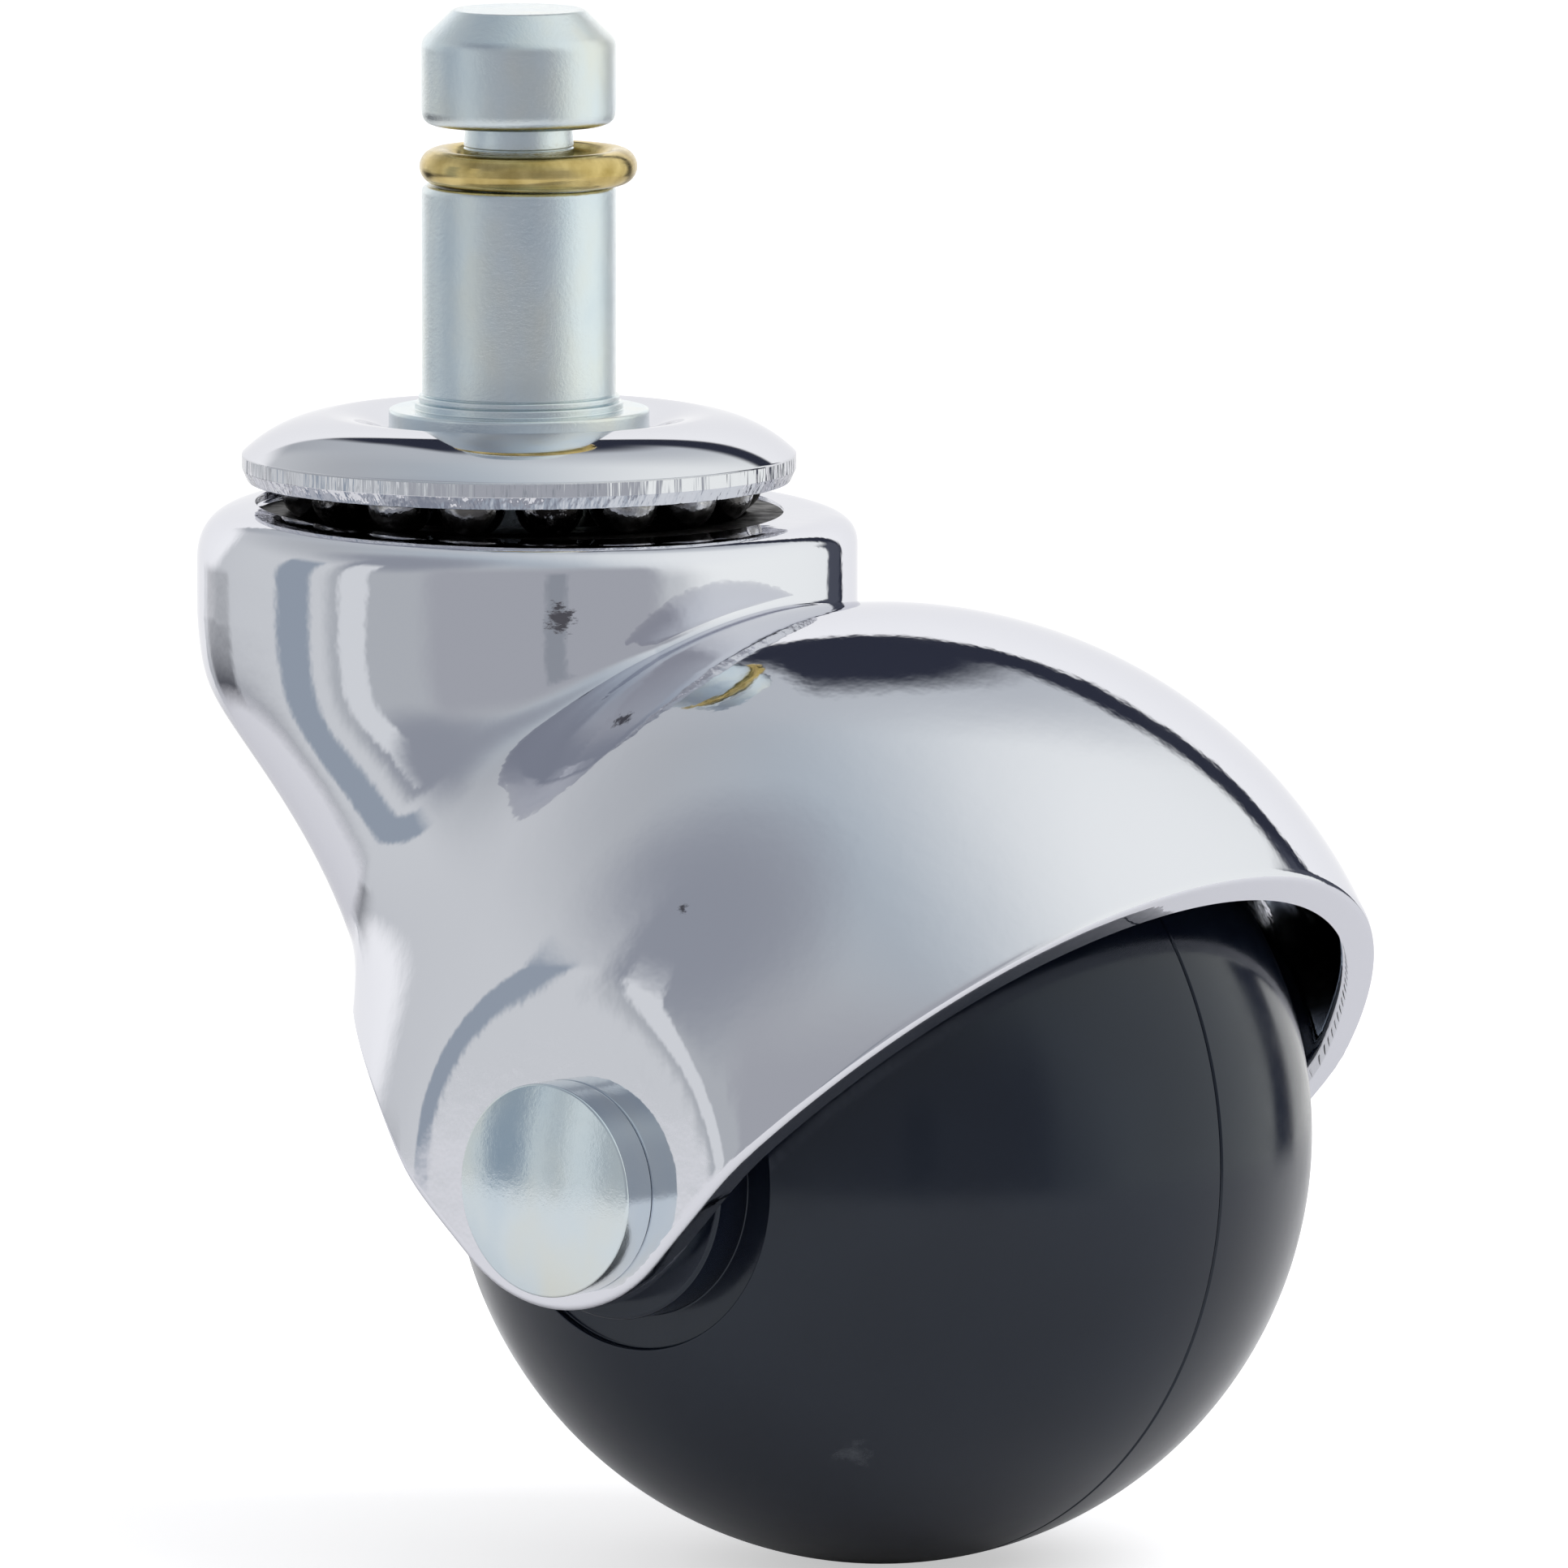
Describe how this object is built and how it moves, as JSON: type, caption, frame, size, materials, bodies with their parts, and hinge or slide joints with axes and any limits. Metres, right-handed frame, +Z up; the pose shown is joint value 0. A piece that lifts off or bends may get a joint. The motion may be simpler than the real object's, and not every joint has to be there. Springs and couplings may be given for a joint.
{
  "type": "ball castor",
  "caption": "Hooded ball castor with a grip ring stem, a ball-bearing swivel, a bright chrome hood and a black plastic ball on a headed axle.",
  "frame": {"origin": "on the stem's axis, at the top face of its collar, where a leg's foot bears", "axes": "+Z up the stem, +X along the trail from the stem towards the ball, Y along the axle with the domed axle head at -Y"},
  "size_m": [0.0701, 0.0609, 0.0868],
  "materials": {
    "zinc_plated_steel": "bright zinc plate with a faint blue tint, over turned steel",
    "spring_brass": "drawn brass wire, dulled",
    "bright_chrome": "mirror chrome on a steel pressing",
    "chromed_casting": "bright chrome on a polished zinc casting",
    "race_steel": "greased hardened steel",
    "ball_steel": "polished steel, lightly greased",
    "black_plastic": "moulded black plastic, semi-gloss"
  },
  "bodies": {
    "stem_unit": {"stem": "zinc_plated_steel", "grip_ring": "spring_brass", "top_race": "bright_chrome", "lower_cone": "race_steel"},
    "upper_row": {"upper_ball_01": "ball_steel", "upper_ball_02": "ball_steel", "upper_ball_03": "ball_steel", "upper_ball_04": "ball_steel", "upper_ball_05": "ball_steel", "upper_ball_06": "ball_steel", "upper_ball_07": "ball_steel", "upper_ball_08": "ball_steel", "upper_ball_09": "ball_steel", "upper_ball_10": "ball_steel", "upper_ball_11": "ball_steel", "upper_ball_12": "ball_steel", "upper_ball_13": "ball_steel", "upper_ball_14": "ball_steel", "upper_ball_15": "ball_steel", "upper_ball_16": "ball_steel", "upper_ball_17": "ball_steel"},
    "lower_row": {"lower_ball_01": "ball_steel", "lower_ball_02": "ball_steel", "lower_ball_03": "ball_steel", "lower_ball_04": "ball_steel", "lower_ball_05": "ball_steel", "lower_ball_06": "ball_steel", "lower_ball_07": "ball_steel", "lower_ball_08": "ball_steel", "lower_ball_09": "ball_steel", "lower_ball_10": "ball_steel", "lower_ball_11": "ball_steel"},
    "swivel": {"housing": "chromed_casting", "upper_cup": "race_steel", "lower_cup": "race_steel", "axle": "zinc_plated_steel", "axle_sleeve": "race_steel", "near_washer": "zinc_plated_steel", "far_washer": "zinc_plated_steel"},
    "ball": {"near_ball_half": "black_plastic", "far_ball_half": "black_plastic"}
  },
  "joints": [
    {"name": "swivel_turn", "type": "hinge", "parent": "stem_unit", "child": "swivel", "pos_m": [0, 0, 0], "axis": [0, 0, 1], "continuous": true},
    {"name": "upper_row_orbit", "type": "hinge", "parent": "stem_unit", "child": "upper_row", "pos_m": [0, 0, 0], "axis": [0, 0, 1], "continuous": true},
    {"name": "lower_row_orbit", "type": "hinge", "parent": "stem_unit", "child": "lower_row", "pos_m": [0, 0, 0], "axis": [0, 0, 1], "continuous": true},
    {"name": "ball_roll", "type": "hinge", "parent": "swivel", "child": "ball", "pos_m": [0.0265, 0, -0.0395], "axis": [0, 1, 0], "continuous": true}
  ],
  "couplings": [
    {"joint": "upper_row_orbit", "follows": "swivel_turn", "ratio": 0.5},
    {"joint": "lower_row_orbit", "follows": "swivel_turn", "ratio": 0.5}
  ]
}
